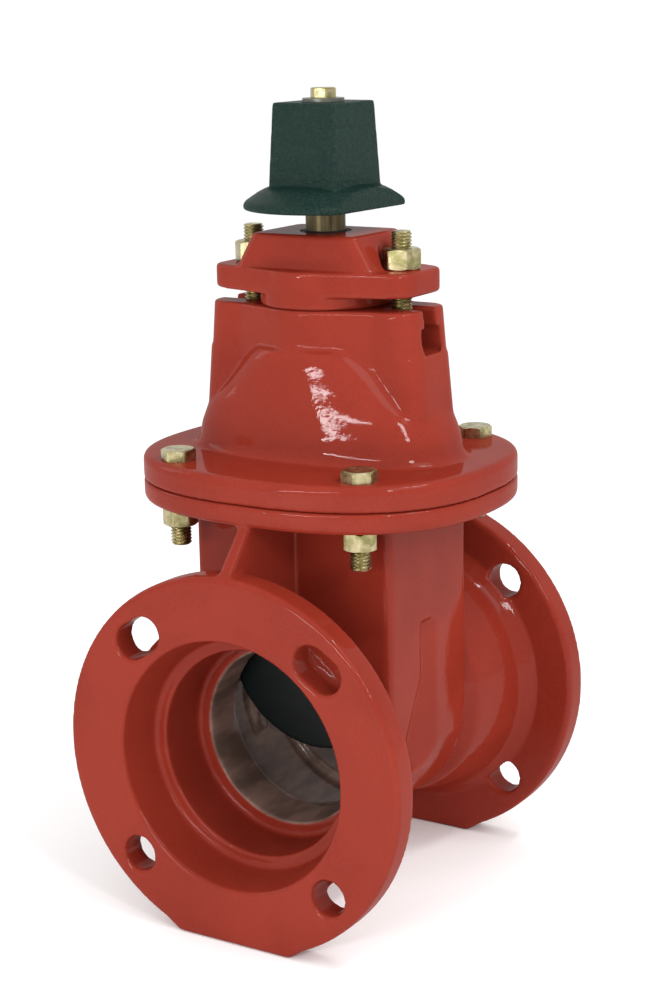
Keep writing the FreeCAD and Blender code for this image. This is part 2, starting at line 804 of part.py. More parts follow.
def stuffing_plate():
    boss = cylinder("plate_boss", "boss_radius", "ear_top - bonnet_top - 0.1", ("0", "0", "bonnet_top + 0.1"))
    ears_block = box(
        "ears_block",
        ("-ear_half_x", "-ear_half_y", "ear_bottom"),
        ("ear_half_x", "ear_half_y", "ear_top"),
    )
    ears_outline = rounded("ears_outline", ears_block, "lug_round", upright)
    ears = rounded("ears", ears_outline, "ear_edge_round", level)
    hub_block = pushed(
        "hub_block",
        "Y",
        both_sides([("hub_foot_half", "ear_top - 2"), ("hub_foot_half", "ear_top"), ("hub_top_half", "hub_top")]),
        "hub_half_y",
    )

    def slanted(edge):
        return edge.BoundBox.ZLength > 5 and edge.BoundBox.ZMax > size("ear_top") + 1

    def on_top(edge):
        return edge.BoundBox.ZMin > size("hub_top") - 0.1

    hub_sides = rounded("hub_sides", hub_block, "hub_side_round", slanted)
    hub = rounded("hub", hub_sides, "hub_round", on_top)
    spigot = cylinder("spigot", "spigot_radius", "bonnet_top - spigot_bottom + 2", ("0", "0", "spigot_bottom"))
    sides = fairing("ear_fairings", "ear_fairing", "ear_bottom", "ear_top")
    whole = joined("plate_casting", [boss, ears, sides, hub, spigot])
    tools = [stem_passage()]
    tools.append(cut("face_seal_groove", face_ring("groove_outer", "+"), [face_ring("groove_inner", "-")]))
    for label, sx in (("right", ""), ("left", "-")):
        spot = sx + "plate_bolt_x"
        tools.append(cylinder(
            "plate_relief_" + label, "relief_radius", "30", (spot, "0", "ear_top")
        ))
        tools.append(cylinder(
            "plate_bolt_hole_" + label, "bolt_hole_radius", "30", (spot, "0", "ear_bottom - 5")
        ))
    return cut("stuffing_plate", whole, tools)


def face_ring(name, sign):
    radius = "face_seal_radius %s (seal_radius + 0.1)" % sign
    return cylinder(name, radius, "2 * seal_radius + 0.1", ("0", "0", "bonnet_top"))


def stem_passage():
    seal_room = "stem_radius + 2 * seal_radius + 0.1"
    corners = [("0", "spigot_bottom - 1"), ("stem_radius + running_gap", "spigot_bottom - 1")]
    for height in ("first_seal_height", "second_seal_height"):
        corners += [
            ("stem_radius + running_gap", height + " - seal_radius"),
            (seal_room, height + " - seal_radius"),
            (seal_room, height + " + seal_radius"),
            ("stem_radius + running_gap", height + " + seal_radius"),
        ]
    corners += [
        ("stem_radius + running_gap", "wiper_bottom"),
        ("wiper_radius", "wiper_bottom"),
        ("wiper_radius", "hub_top + 1"),
        ("0", "hub_top + 1"),
    ]
    return turned("stem_passage", corners)


def bonnet_gasket():
    return rounded_ring("bonnet_gasket", "gasket_corner", "joint_height - gasket_height", "joint_height")


def plate_seal():
    return ring_cord("plate_seal", "face_seal_radius", "seal_radius", "bonnet_top + seal_radius + 0.1")


def hex_bolt(name, at, radius, half_flats, head_low, head_high, low, high, turn):
    shank = cylinder(name + "_shank", radius, "(%s) - (%s)" % (high, low), (at[0], at[1], low))
    head = hexagon(name + "_head", half_flats, head_low, head_high, at, turn)
    return joined(name, [shank, head])


def hex_nut(name, at, half_flats, low, high, turn):
    blank = hexagon(name + "_blank", half_flats, low, high, at, turn)
    hole = cylinder(name + "_hole", "bolt_radius + thread_gap", "40", (at[0], at[1], "(%s) - 10" % low))
    return cut(name, blank, [hole])


def bonnet_bolts():
    under_head = "joint_height + cover_flange_thick"
    bolts = []
    for n, spot in enumerate(cover_bolt_spots()):
        bolts.append(hex_bolt(
            "bonnet_bolt_%d" % n, spot, "bolt_radius", "hex_half_flats", under_head,
            under_head + " + bolt_head_height", "bolt_end", under_head + " + 1", 17.0 + 23.0 * n,
        ))
    return group("bonnet_bolts", bolts)


def bonnet_nuts():
    top = "joint_height - body_flange_thick"
    nuts = [
        hex_nut("bonnet_nut_%d" % n, spot, "hex_half_flats", top + " - nut_height", top, 41.0 + 19.0 * n)
        for n, spot in enumerate(cover_bolt_spots())
    ]
    return group("bonnet_nuts", nuts)


def plate_bolts():
    bolts = []
    for label, sx in (("right", ""), ("left", "-")):
        spot = (sx + "plate_bolt_x", "0")
        bolts.append(hex_bolt(
            "plate_bolt_" + label, spot, "bolt_radius", "hex_half_flats", "pocket_roof - bolt_head_height",
            "pocket_roof", "pocket_roof - 1", "plate_bolt_end", 30.0,
        ))
    return group("plate_bolts", bolts)


def plate_nuts():
    top = "ear_top + plate_nut_height"
    nuts = [
        hex_nut("plate_nut_right", ("plate_bolt_x", "0"), "plate_nut_half_flats", "ear_top", top, 17.0),
        hex_nut("plate_nut_left", ("-plate_bolt_x", "0"), "plate_nut_half_flats", "ear_top", top, 20.0),
    ]
    return group("plate_nuts", nuts)


def stem():
    shaft = turned("stem_shaft", [
        ("0", "stem_bottom"),
        ("screw_radius - 2", "stem_bottom"),
        ("screw_radius", "stem_bottom + 2"),
        ("screw_radius", "collar_bottom"),
        ("collar_radius", "collar_bottom"),
        ("collar_radius", "collar_top"),
        ("stem_radius", "collar_top"),
        ("stem_radius", "stem_shoulder"),
        ("0", "stem_shoulder"),
    ])
    square = box(
        "stem_square",
        ("-square_half", "-square_half", "stem_shoulder - 1"),
        ("square_half", "square_half", "stem_top"),
    )
    whole = joined("stem_blank", [shaft, square])
    hole = cylinder(
        "stem_tapped_hole", "cap_bolt_radius + thread_gap", "stem_top - cap_bolt_end + 3",
        ("0", "0", "cap_bolt_end - 2"),
    )
    return cut("stem", whole, [hole])


def flat_ring(name, inner, outer, low, high):
    return turned(name, [(inner, low), (outer, low), (outer, high), (inner, high)])


def thrust_washer_lower():
    return flat_ring(
        "thrust_washer_lower", "screw_radius + 0.2", "counterbore_radius - 0.3",
        "counterbore_floor", "counterbore_floor + washer_thick",
    )


def thrust_washer_upper():
    return flat_ring(
        "thrust_washer_upper", "stem_radius + 0.2", "counterbore_radius - 0.3",
        "collar_top + 0.1", "collar_top + 0.1 + washer_thick",
    )


def stem_bushing():
    return flat_ring(
        "stem_bushing", "screw_radius + running_gap", "bushing_radius",
        "bushing_bottom", "counterbore_floor",
    )


def stem_seals():
    middle = "stem_radius + seal_radius + 0.08"
    cord = "seal_radius - 0.03"
    rings = [
        ring_cord("stem_seal_first", middle, cord, "first_seal_height"),
        ring_cord("stem_seal_second", middle, cord, "second_seal_height"),
    ]
    return group("stem_seals", rings)


def stem_seal_lower():
    middle = "screw_radius + seal_radius + 0.08"
    return ring_cord("stem_seal_lower", middle, "seal_radius - 0.03", "lower_seal_height")


def dirt_seal():
    return turned("dirt_seal", [
        ("stem_radius + 0.3", "wiper_bottom"),
        ("wiper_radius - 0.1", "wiper_bottom"),
        ("wiper_radius - 0.1", "hub_top - 1"),
        ("stem_radius + 2.2", "hub_top - 0.6"),
        ("stem_radius + 0.9", "hub_top + 0.6"),
        ("stem_radius + 0.1", "hub_top + 0.6"),
        ("stem_radius + 0.3", "hub_top - 2"),
    ])


def frustum(name, low_half, low, high_half, high):
    """Square pyramid stub centred on the stem axis."""
    sections = []
    for label, half, height in (("low", low_half, low), ("high", high_half, high)):
        sketch = doc.addObject("Sketcher::SketchObject", "%s_%s" % (name, label))
        minus = "-(%s)" % half
        outline(sketch, [(half, half), (minus, half), (minus, minus), (half, minus)])
        place(sketch, ("0", "0", height))
        sections.append(sketch)
    loft = doc.addObject("Part::Loft", name)
    loft.Sections = sections
    loft.Solid = True
    loft.Ruled = True
    return loft


def operating_nut():
    key_block = frustum("key_block", "key_base_half", "key_base - 8", "key_top_half", "key_top")

    def above_skirt(edge):
        return edge.BoundBox.ZMax > size("key_base")

    key = rounded("key", key_block, "key_round", above_skirt)
    skirt = turned("skirt", [
        ("0", "skirt_bottom"),
        ("skirt_radius - 0.8", "skirt_bottom"),
        ("skirt_radius", "skirt_bottom + 0.8"),
        ("skirt_radius", "skirt_rim_top"),
        ("skirt_radius - 1.2", "skirt_rim_top + 2"),
        ("skirt_radius - 5", "skirt_rim_top + 4.6"),
        ("skirt_radius - 9", "skirt_rim_top + 7.2"),
        ("skirt_radius - 13", "skirt_rim_top + 9.2"),
        ("skirt_radius - 18", "skirt_rim_top + 10.6"),
        ("key_base_half - 2", "skirt_rim_top + 12"),
        ("0", "skirt_rim_top + 12"),
    ])
    whole = joined("operating_nut_casting", [key, skirt])
    hollow = turned("skirt_hollow", [
        ("0", "skirt_bottom - 1"),
        ("skirt_cut - 5", "skirt_bottom - 1"),
        ("skirt_cut - 8", "skirt_bottom + 5"),
        ("stem_radius + 4", "skirt_bottom + 8"),
        ("0", "skirt_bottom + 8"),
    ])
    side_cut = box(
        "skirt_side_cut", ("skirt_cut", "-60", "skirt_bottom - 1"), ("skirt_cut + 30", "60", "key_top"),
    )
    socket = box(
        "socket",
        ("-square_half - 0.1", "-square_half - 0.1", "skirt_bottom"),
        ("square_half + 0.1", "square_half + 0.1", "stem_top + 0.1"),
    )
    mouth = cylinder("socket_mouth", "stem_radius + 0.3", "stem_shoulder - skirt_bottom", ("0", "0", "skirt_bottom"))
    hole = cylinder("key_bolt_hole", "cap_bolt_radius + 0.5", "20", ("0", "0", "stem_top - 1"))
    return cut("operating_nut", whole, [hollow, side_cut, socket, mouth, hole])


def operating_nut_washer():
    return flat_ring(
        "operating_nut_washer", "cap_bolt_radius + 0.4", "cap_washer_radius",
        "key_top", "key_top + cap_washer_thick",
    )


def operating_nut_bolt():
    under_head = "key_top + cap_washer_thick"
    return hex_bolt(
        "operating_nut_bolt", ("0", "0"), "cap_bolt_radius", "cap_bolt_half_flats", under_head,
        under_head + " + cap_head_height", "cap_bolt_end", under_head + " + 1", 12.0,
    )


def wedge_centre(offset):
    return "flow_height + wedge_lift + (%s)" % offset


def wedge_block(name, inset):
    """Wedge outline shrunk all round by inset."""
    plate = arch(
        name + "_plate", "wedge_half_x - %s" % inset, "wedge_radius - %s" % inset, wedge_centre("0"),
        wedge_centre("wedge_top - %s" % inset), "60",
    )
    roof = pushed(
        name + "_roof",
        "Y",
        both_sides([
            ("80", wedge_centre("-80")),
            ("80", wedge_centre("wedge_shoulder - 32 - %s" % inset)),
            ("wedge_top_half_x - %s" % inset, wedge_centre("wedge_slope_end - %s" % inset)),
            ("wedge_top_half_x - %s" % inset, wedge_centre("wedge_top + 5")),
        ]),
        "70",
    )
    shrink = "seat_gap + %s" % inset
    sides = pushed(
        name + "_sides",
        "X",
        both_sides([
            ("seat_half - seat_slope * seat_reach - (%s)" % shrink, wedge_centre("-seat_reach")),
            ("seat_half + seat_slope * (seat_reach - 3) - (%s)" % shrink, wedge_centre("seat_reach - 3")),
            ("wedge_top_half_y - %s" % inset, wedge_centre("seat_reach + 4")),
            ("wedge_top_half_y - %s" % inset, wedge_centre("wedge_top + 5")),
        ]),
        "100",
    )
    return shared(name, [plate, roof, sides])


def wedge_hollows(name):
    hole = cylinder(
        name + "_stem_hole", "stem_hole_radius", "wedge_top - stem_hole_bottom + 5",
        ("0", "0", wedge_centre("stem_hole_bottom")),
    )
    nut_room = box(
        name + "_nut_room",
        ("-nut_half_x", "-nut_half_y", wedge_centre("nut_bottom")),
        ("nut_half_x", "nut_half_y", wedge_centre("wedge_top + 5")),
    )
    guides = [guide_slot("%s_guide_%s" % (name, label), sx) for label, sx in (("right", ""), ("left", "-"))]
    return [hole, nut_room] + guides


def guide_slot(name, sx):
    """Upright slot in the side of the wedge that clears the body rail and holds the guide."""
    ends = [sx + "guide_floor", sx + "(wedge_half_x + 4)"]
    if sx:
        ends.reverse()
    low = wedge_centre("guide_slot_bottom")
    high = wedge_centre("guide_slot_top")
    return box(name, (ends[0], "-guide_half", low), (ends[1], "guide_half", high))


def wedge_core():
    return cut("wedge_core", wedge_block("core_block", "rubber_thick"), wedge_hollows("core"))


def wedge_rubber():
    inside = wedge_block("rubber_inside", "rubber_thick")
    return cut("wedge_rubber", wedge_block("rubber_block", "0"), [inside] + wedge_hollows("rubber"))


def wedge_guide(name, sx):
    """Plastic channel that runs on a body rail."""
    ends = [sx + "guide_floor", sx + "wedge_half_x"]
    inner = [sx + "(guide_floor + guide_wall)", sx + "(wedge_half_x + 1)"]
    if sx:
        ends.reverse()
        inner.reverse()
    low = wedge_centre("guide_bottom")
    high = wedge_centre("wedge_shoulder")
    shoe = box(name + "_shoe", (ends[0], "-guide_half", low), (ends[1], "guide_half", high))
    track = box(
        name + "_track",
        (inner[0], "-(guide_half - guide_wall - 0.6)", wedge_centre("guide_bottom - 1")),
        (inner[1], "guide_half - guide_wall - 0.6", wedge_centre("wedge_shoulder + 1")),
    )
    return cut(name, shoe, [track])


def stem_nut():
    block = box(
        "stem_nut_block",
        ("-nut_half_x", "-nut_half_y", wedge_centre("nut_bottom")),
        ("nut_half_x", "nut_half_y", wedge_centre("wedge_top - 0.5")),
    )
    hole = cylinder(
        "stem_nut_hole", "screw_radius + running_gap", "40", ("0", "0", wedge_centre("nut_bottom - 5"))
    )
    return cut("stem_nut", block, [hole])


def turn_with_stem(feature):
    """Set the key square at its rest angle about the stem axis."""
    turned_copy = doc.addObject("Part::Compound", feature.Name + "_at_rest")
    turned_copy.Links = [feature]
    turned_copy.Placement = FreeCAD.Placement(
        FreeCAD.Vector(), FreeCAD.Rotation(FreeCAD.Vector(0, 0, 1), size("key_turn"))
    )
    return turned_copy


def build():
    fill_sheet()
    nodes = {
        "valve_body": valve_body(),
        "bonnet": bonnet(),
        "stuffing_plate": stuffing_plate(),
        "bonnet_gasket": bonnet_gasket(),
        "plate_seal": plate_seal(),
        "bonnet_bolts": bonnet_bolts(),
        "bonnet_nuts": bonnet_nuts(),
        "plate_bolts": plate_bolts(),
        "plate_nuts": plate_nuts(),
        "stem": turn_with_stem(stem()),
        "thrust_washer_lower": thrust_washer_lower(),
        "thrust_washer_upper": thrust_washer_upper(),
        "stem_bushing": stem_bushing(),
        "stem_seals": stem_seals(),
        "stem_seal_lower": stem_seal_lower(),
        "dirt_seal": dirt_seal(),
        "operating_nut": turn_with_stem(operating_nut()),
        "operating_nut_washer": operating_nut_washer(),
        "operating_nut_bolt": operating_nut_bolt(),
        "wedge_core": wedge_core(),
        "wedge_rubber": wedge_rubber(),
        "wedge_guide_right": wedge_guide("wedge_guide_right", ""),
        "wedge_guide_left": wedge_guide("wedge_guide_left", "-"),
        "stem_nut": stem_nut(),
    }
    doc.recompute()
    for item in doc.Objects:
        if "Invalid" in item.State or "Error" in item.State:
            raise RuntimeError("%s did not build: %s" % (item.Name, item.State))
    return nodes


def write(nodes):
    os.makedirs("parts", exist_ok=True)
    for name, feature in nodes.items():
        shape = feature.Shape
        if shape.isNull() or not shape.isValid():
            raise RuntimeError("%s has no valid shape" % name)
        feature.Label = name
        shape.exportStep("parts/%s.step" % name)
        print("%-22s solids %d  volume %.0f" % (name, len(shape.Solids), shape.Volume))


write(build())
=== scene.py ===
"""Gate valve, 4 inch, non-rising stem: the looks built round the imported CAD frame.

Lengths are in metres. Angles are in degrees where they are given as constants.
"""

import json
import math

import bmesh
import bpy
from mathutils import Matrix, Vector

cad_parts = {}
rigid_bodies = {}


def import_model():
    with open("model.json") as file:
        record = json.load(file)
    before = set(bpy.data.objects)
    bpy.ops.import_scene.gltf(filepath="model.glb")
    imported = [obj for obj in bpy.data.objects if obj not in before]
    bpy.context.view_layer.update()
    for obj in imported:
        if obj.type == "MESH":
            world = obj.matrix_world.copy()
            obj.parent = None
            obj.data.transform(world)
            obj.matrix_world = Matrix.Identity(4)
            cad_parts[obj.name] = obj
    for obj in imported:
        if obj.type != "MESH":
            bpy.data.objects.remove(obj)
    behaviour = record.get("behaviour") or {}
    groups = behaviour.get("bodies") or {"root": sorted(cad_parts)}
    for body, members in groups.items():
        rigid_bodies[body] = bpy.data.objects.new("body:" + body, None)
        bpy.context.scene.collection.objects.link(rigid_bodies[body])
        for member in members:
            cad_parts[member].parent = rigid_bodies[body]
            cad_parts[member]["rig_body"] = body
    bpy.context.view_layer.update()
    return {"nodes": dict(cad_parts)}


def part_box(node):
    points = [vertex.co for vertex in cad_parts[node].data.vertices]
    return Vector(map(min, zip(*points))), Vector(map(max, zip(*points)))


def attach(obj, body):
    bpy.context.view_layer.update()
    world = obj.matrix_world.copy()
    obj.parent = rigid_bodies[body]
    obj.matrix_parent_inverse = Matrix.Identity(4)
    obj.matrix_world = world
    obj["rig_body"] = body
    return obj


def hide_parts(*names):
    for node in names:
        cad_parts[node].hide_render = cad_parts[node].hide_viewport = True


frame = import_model()
NODES = frame["nodes"]
MM = 0.001

# Fasteners: what the boxes of the frame do not give.
BOLT_THREAD = dict(pitch=2.0 * MM, depth=1.05 * MM)
BOLT_RADIUS = 6.35 * MM
BOLT_FLATS = 19.05 * MM
BOLT_HEAD = 6.8 * MM
THREAD_ABOVE_NUT = 8 * MM
PLATE_NUT_FLATS = 21.0 * MM
CAP_THREAD = dict(pitch=1.4 * MM, depth=0.8 * MM)
CAP_RADIUS = 4.7 * MM
CAP_FLATS = 14.28 * MM
CAP_HEAD = 6.0 * MM
HEAD_OVERLAP = 0.5 * MM

# Turn of each hexagon about its own axis.
HEAD_TURNS = (17.0, 40.0, 63.0, 86.0)
NUT_TURNS = (41.0, 60.0, 79.0, 98.0)
PLATE_HEAD_TURN = 30.0
PLATE_NUT_TURNS = (17.0, 20.0)
CAP_TURN = 12.0

# Waterway inside the body: height of the flow line, radius of the bore's ledge and its
# reach along the flow, then the half width and half length of the wedge's room.
FLOW_HEIGHT = 0.1118
LEDGE_RADIUS = 0.0565
LEDGE_REACH = 0.0575
ROOM_HALF = (0.0603, 0.0405)
ROOM_BOWL = ROOM_HALF[0] + 1.2 * MM

# Castings: size of the voxels of the skin and rounds of smoothing that give soft edges.
CAST_SKINS = (
    ("valve_body", 1.4 * MM, 5),
    ("bonnet", 1.3 * MM, 6),
    ("stuffing_plate", 1.0 * MM, 6),
    ("operating_nut", 0.8 * MM, 5),
    ("wedge_rubber", 1.0 * MM, 6),
)

# Linear colours.
RED = (0.238, 0.027, 0.015)
DEEP_RED = (0.195, 0.020, 0.011)
INNER_COAT = (0.120, 0.078, 0.062)
COAT_STREAK = tuple(c * 2.2 for c in INNER_COAT)
ENAMEL_DARK = (0.005, 0.018, 0.014)
ENAMEL_LIGHT = (0.010, 0.027, 0.021)
ZINC_OLIVE = (0.24, 0.22, 0.09)
ZINC_STRAW = (0.47, 0.40, 0.24)
BRONZE_DARK = (0.06, 0.047, 0.024)
BRONZE_LIGHT = (0.17, 0.135, 0.07)
FLOOR_DARK = (0.97, 0.97, 0.97)
FLOOR_LIGHT = (0.99, 0.99, 0.99)

# Camera: azimuth, elevation and roll of the photograph, its place and its lens in millimetres.
CAMERA_ANGLES = (32.02, 13.65, -1.09)
CAMERA_PLACE = (0.6608, -1.0605, 0.5513)
CAMERA_LENS = 74.99
CAMERA_SENSOR = 36.0

FLOOR_HALF = 20.0


# ---------------------------------------------------------------- camera, lights, floor


def camera():
    """The camera at the photograph's viewing angle, with its slight roll."""
    azimuth, elevation, roll = (math.radians(a) for a in CAMERA_ANGLES)
    right = Vector((math.cos(azimuth), math.sin(azimuth), 0))
    back = Vector((
        math.sin(azimuth) * math.cos(elevation),
        -math.cos(azimuth) * math.cos(elevation),
        math.sin(elevation),
    ))
    up = back.cross(right)
    rolled_right = right * math.cos(roll) + up * math.sin(roll)
    rolled_up = back.cross(rolled_right)
    data = bpy.data.cameras.new("camera")
    data.sensor_width = CAMERA_SENSOR
    data.lens = CAMERA_LENS
    data.clip_start, data.clip_end = 0.05, 60.0
    cam = bpy.data.objects.new("camera", data)
    axes = Matrix((rolled_right, rolled_up, back)).transposed().to_4x4()
    cam.matrix_world = Matrix.Translation(CAMERA_PLACE) @ axes
    bpy.context.scene.collection.objects.link(cam)
    bpy.context.scene.camera = cam


def softbox(name, direction, distance, size, radiance, aim=(0, 0, 0.25), turn=0.0):
    """A rectangular soft light aimed at the object, placed by its azimuth and elevation from it."""
    a, e = (math.radians(angle) for angle in direction)
    towards = Vector((math.sin(a) * math.cos(e), -math.cos(a) * math.cos(e), math.sin(e)))
    data = bpy.data.lights.new(name, "AREA")
    data.shape = "RECTANGLE"
    data.size, data.size_y = size
    data.energy = radiance * math.pi * size[0] * size[1]
    lamp = bpy.data.objects.new(name, data)
    lamp.location = Vector(aim) + towards * distance
    lamp.rotation_mode = "QUATERNION"
    roll = Matrix.Rotation(math.radians(turn), 4, "Z").to_quaternion()
    lamp.rotation_quaternion = towards.to_track_quat("Z", "Y") @ roll
    bpy.context.scene.collection.objects.link(lamp)


def studio():
    """White floor and surroundings, two large lights, and small ones for crisp highlights."""
    mesh = bpy.data.meshes.new("floor")
    h = FLOOR_HALF
    mesh.from_pydata([(-h, -h, 0), (h, -h, 0), (h, h, 0), (-h, h, 0)], [], [(0, 1, 2, 3)])
    floor = bpy.data.objects.new("floor", mesh)
    bpy.context.scene.collection.objects.link(floor)
    s = Shader("floor_white", roughness=0.9, specular=0.0)
    s.link(s.mix(s.noise(3, 2), FLOOR_DARK, FLOOR_LIGHT), "Base Color")
    s.set("Emission Color", (1, 1, 1, 1))
    s.set("Emission Strength", 0.03)
    mesh.materials.append(s.material)

    world = bpy.data.worlds.new("studio")
    bpy.context.scene.world = world
    world.use_nodes = True
    world.node_tree.nodes["Background"].inputs["Color"].default_value = (1.0, 1.0, 1.0, 1)
    world.node_tree.nodes["Background"].inputs["Strength"].default_value = 1.0

    softbox("key", (75, 45), 1.8, (0.8, 0.8), 2.8)
    softbox("fill", (-80, 25), 1.8, (0.5, 0.9), 2.0)
    softbox("dome_strip", (-2, 5.5), 1.5, (1.05, 0.042), 58, aim=(0, 0, 0.31), turn=24)
    softbox("edge_strip", (95, 56), 1.6, (0.6, 0.1), 42, aim=(0, 0, 0.33))
    softbox("side_spot", (54, 25), 1.6, (0.16, 0.30), 36, aim=(0.05, -0.03, 0.3))
    bpy.context.scene.view_settings.view_transform = "Standard"


# ---------------------------------------------------------------- materials


class Shader:
    """A node material under construction: the Principled shader and short ways to feed it."""

    def __init__(self, name, roughness, metallic=0.0, coat=0.0, coat_roughness=0.05, specular=0.5):
        self.material = bpy.data.materials.new(name)
        self.material.use_nodes = True
        self.tree = self.material.node_tree
        self.bsdf = self.tree.nodes["Principled BSDF"]
        self.set("Roughness", roughness)
        self.set("Metallic", metallic)
        self.set("Coat Weight", coat)
        self.set("Coat Roughness", coat_roughness)
        self.set("Specular IOR Level", specular)
        self.place = self.tree.nodes.new("ShaderNodeTexCoord").outputs["Object"]

    def set(self, socket, value):
        self.bsdf.inputs[socket].default_value = value

    def link(self, out, socket):
        self.tree.links.new(out, self.bsdf.inputs[socket])

    def feed(self, node, socket, value):
        """Gives one input of a node a constant or another node's output."""
        target = node.inputs[socket]
        if isinstance(value, bpy.types.NodeSocket):
            self.tree.links.new(value, target)
        else:
            target.default_value = value

    def noise(self, scale, detail=3.0, roughness=0.55, distortion=0.0, place=None):
        node = self.tree.nodes.new("ShaderNodeTexNoise")
        self.feed(node, "Vector", place or self.place)
        self.feed(node, "Scale", scale)
        self.feed(node, "Detail", detail)
        self.feed(node, "Roughness", roughness)
        self.feed(node, "Distortion", distortion)
        return node.outputs["Fac"]

    def stretched(self, x, y, z):
        """Object coordinates scaled along each axis."""
        node = self.tree.nodes.new("ShaderNodeMapping")
        self.feed(node, "Vector", self.place)
        self.feed(node, "Scale", (x, y, z))
        return node.outputs["Vector"]

    def axes(self):
        node = self.tree.nodes.new("ShaderNodeSeparateXYZ")
        self.feed(node, 0, self.place)
        return node.outputs["X"], node.outputs["Y"], node.outputs["Z"]

    def remap(self, value, low, high, out_low=0.0, out_high=1.0):
        node = self.tree.nodes.new("ShaderNodeMapRange")
        node.interpolation_type = "SMOOTHSTEP"
        self.feed(node, "Value", value)
        self.feed(node, "From Min", low)
        self.feed(node, "From Max", high)
        self.feed(node, "To Min", out_low)
        self.feed(node, "To Max", out_high)
        return node.outputs["Result"]

    def math(self, operation, a, b=0.0):
        node = self.tree.nodes.new("ShaderNodeMath")
        node.operation = operation
        self.feed(node, 0, a)
        self.feed(node, 1, b)
        return node.outputs["Value"]

    def below(self, value, limit, blur=0.0004):
        """One where the value is under the limit, zero above it, with a soft step between."""
        return self.remap(value, limit - blur, limit + blur, 1.0, 0.0)

    def mix(self, factor, a, b):
        """Blend of two colours (each a tuple or an output)."""
        node = self.tree.nodes.new("ShaderNodeMix")
        node.data_type = "RGBA"
        self.feed(node, "Factor", factor)
        for socket, value in ((6, a), (7, b)):
            self.feed(node, socket, (*value, 1) if isinstance(value, tuple) else value)
        return node.outputs[2]

    def bump(self, height, strength, distance, normal=None):
        node = self.tree.nodes.new("ShaderNodeBump")
        self.feed(node, "Height", height)
        self.feed(node, "Strength", strength)
        self.feed(node, "Distance", distance)
        if normal is not None:
            self.feed(node, "Normal", normal)
        return node.outputs["Normal"]


def glossy_coat(name):
    """Epoxy on a casting: soft waves, orange peel and small changes of shade."""
    s = Shader(name, roughness=0.3, coat=0.24, coat_roughness=0.03, specular=0.0)
    peel = s.bump(s.noise(420, 2), 0.08, 0.0005)
    peel = s.bump(s.noise(70, 2), 0.06, 0.002, peel)
    s.link(peel, "Normal")
    s.link(peel, "Coat Normal")
    return s


def red_shade(s):
    """The red of the castings, slightly clouded and grainy."""
    clouds = s.remap(s.noise(16, 4), 0.35, 0.65, 0.0, 0.6)
    grain = s.remap(s.noise(700, 3, 0.7), 0.35, 0.65, 0.0, 0.4)
    return s.mix(s.math("ADD", clouds, grain), DEEP_RED, RED)


def inner_shade(s):
    """The dark coat of the waterway, streaked along the flow."""
    streaks = s.noise(1.0, 4, place=s.stretched(60, 18, 60))
    return s.mix(s.remap(streaks, 0.35, 0.7), INNER_COAT, COAT_STREAK)


def red_epoxy():
    """Red epoxy all over, for the bonnet and the stuffing plate."""
    s = glossy_coat("red_epoxy")
    s.link(red_shade(s), "Base Color")
    return s.material


def body_epoxy():
    """Red outside and in the sockets, with a dark coat in the bore and the wedge's room."""
    s = glossy_coat("red_epoxy_body")
    x, y, z = s.axes()
    rise = s.math("SUBTRACT", z, FLOW_HEIGHT)
    squares = s.math("ADD", s.math("MULTIPLY", x, x), s.math("MULTIPLY", rise, rise))
    radius = s.math("SQRT", squares)
    reach = s.below(s.math("ABSOLUTE", y), LEDGE_REACH)
    bore = s.math("MULTIPLY", s.below(radius, LEDGE_RADIUS), reach)
    across = s.below(s.math("ABSOLUTE", x), ROOM_HALF[0])
    along = s.below(s.math("ABSOLUTE", y), ROOM_HALF[1])
    upper = s.math("MULTIPLY", across, s.below(s.math("MULTIPLY", rise, -1.0), 0.0))
    lower = s.below(radius, ROOM_BOWL)
    room = s.math("MULTIPLY", s.math("MAXIMUM", upper, lower), along)
    inside = s.math("MAXIMUM", bore, room)
    s.link(s.mix(inside, red_shade(s), inner_shade(s)), "Base Color")
    return s.material


def green_enamel():
    """Dark enamel over a rough sand casting."""
    s = Shader("green_enamel", roughness=0.4, coat=0.24, coat_roughness=0.08, specular=0.0)
    mottle = s.remap(s.noise(520, 3, 0.7), 0.4, 0.65)
    s.link(s.mix(mottle, ENAMEL_DARK, ENAMEL_LIGHT), "Base Color")
    rough = s.bump(s.noise(750, 2, 0.6), 1.0, 0.0012)
    rough = s.bump(s.noise(110, 3), 0.25, 0.0015, rough)
    s.link(rough, "Normal")
    s.link(rough, "Coat Normal")
    return s.material


def yellow_zinc():
    """Zinc plating with a yellow chromate film, patchy from olive to straw."""
    s = Shader("yellow_zinc", roughness=0.36, metallic=1.0)
    patches = s.remap(s.noise(160, 5, 0.65, 0.6), 0.35, 0.65)
    s.link(s.mix(patches, ZINC_OLIVE, ZINC_STRAW), "Base Color")
    s.link(s.remap(s.noise(300, 3), 0.3, 0.7, 0.26, 0.46), "Roughness")
    s.link(s.bump(s.noise(1300, 3), 0.2, 0.0003), "Normal")
    return s.material


def dull_bronze():
    """Turned bronze, dulled and streaked along the shaft."""
    s = Shader("dull_bronze", roughness=0.5, metallic=0.75, specular=0.2)
    streaks = s.noise(1.0, 4, place=s.stretched(420, 420, 30))
    s.link(s.mix(s.remap(streaks, 0.3, 0.7), BRONZE_DARK, BRONZE_LIGHT), "Base Color")
    s.link(s.bump(streaks, 0.3, 0.0006), "Normal")
    return s.material


def plain(name, colour, roughness, metallic=0.0, grain=600, relief=0.0004, specular=0.5):
    """One shade with a slight mottle and a fine grain."""
    s = Shader(name, roughness, metallic, specular=specular)
    darker = tuple(c * 0.8 for c in colour)
    lighter = tuple(min(1, c * 1.2) for c in colour)
    s.link(s.mix(s.remap(s.noise(60, 4), 0.3, 0.7), darker, lighter), "Base Color")
    s.link(s.bump(s.noise(grain, 3), 0.15, relief), "Normal")
    return s.material


# ---------------------------------------------------------------- CAD castings


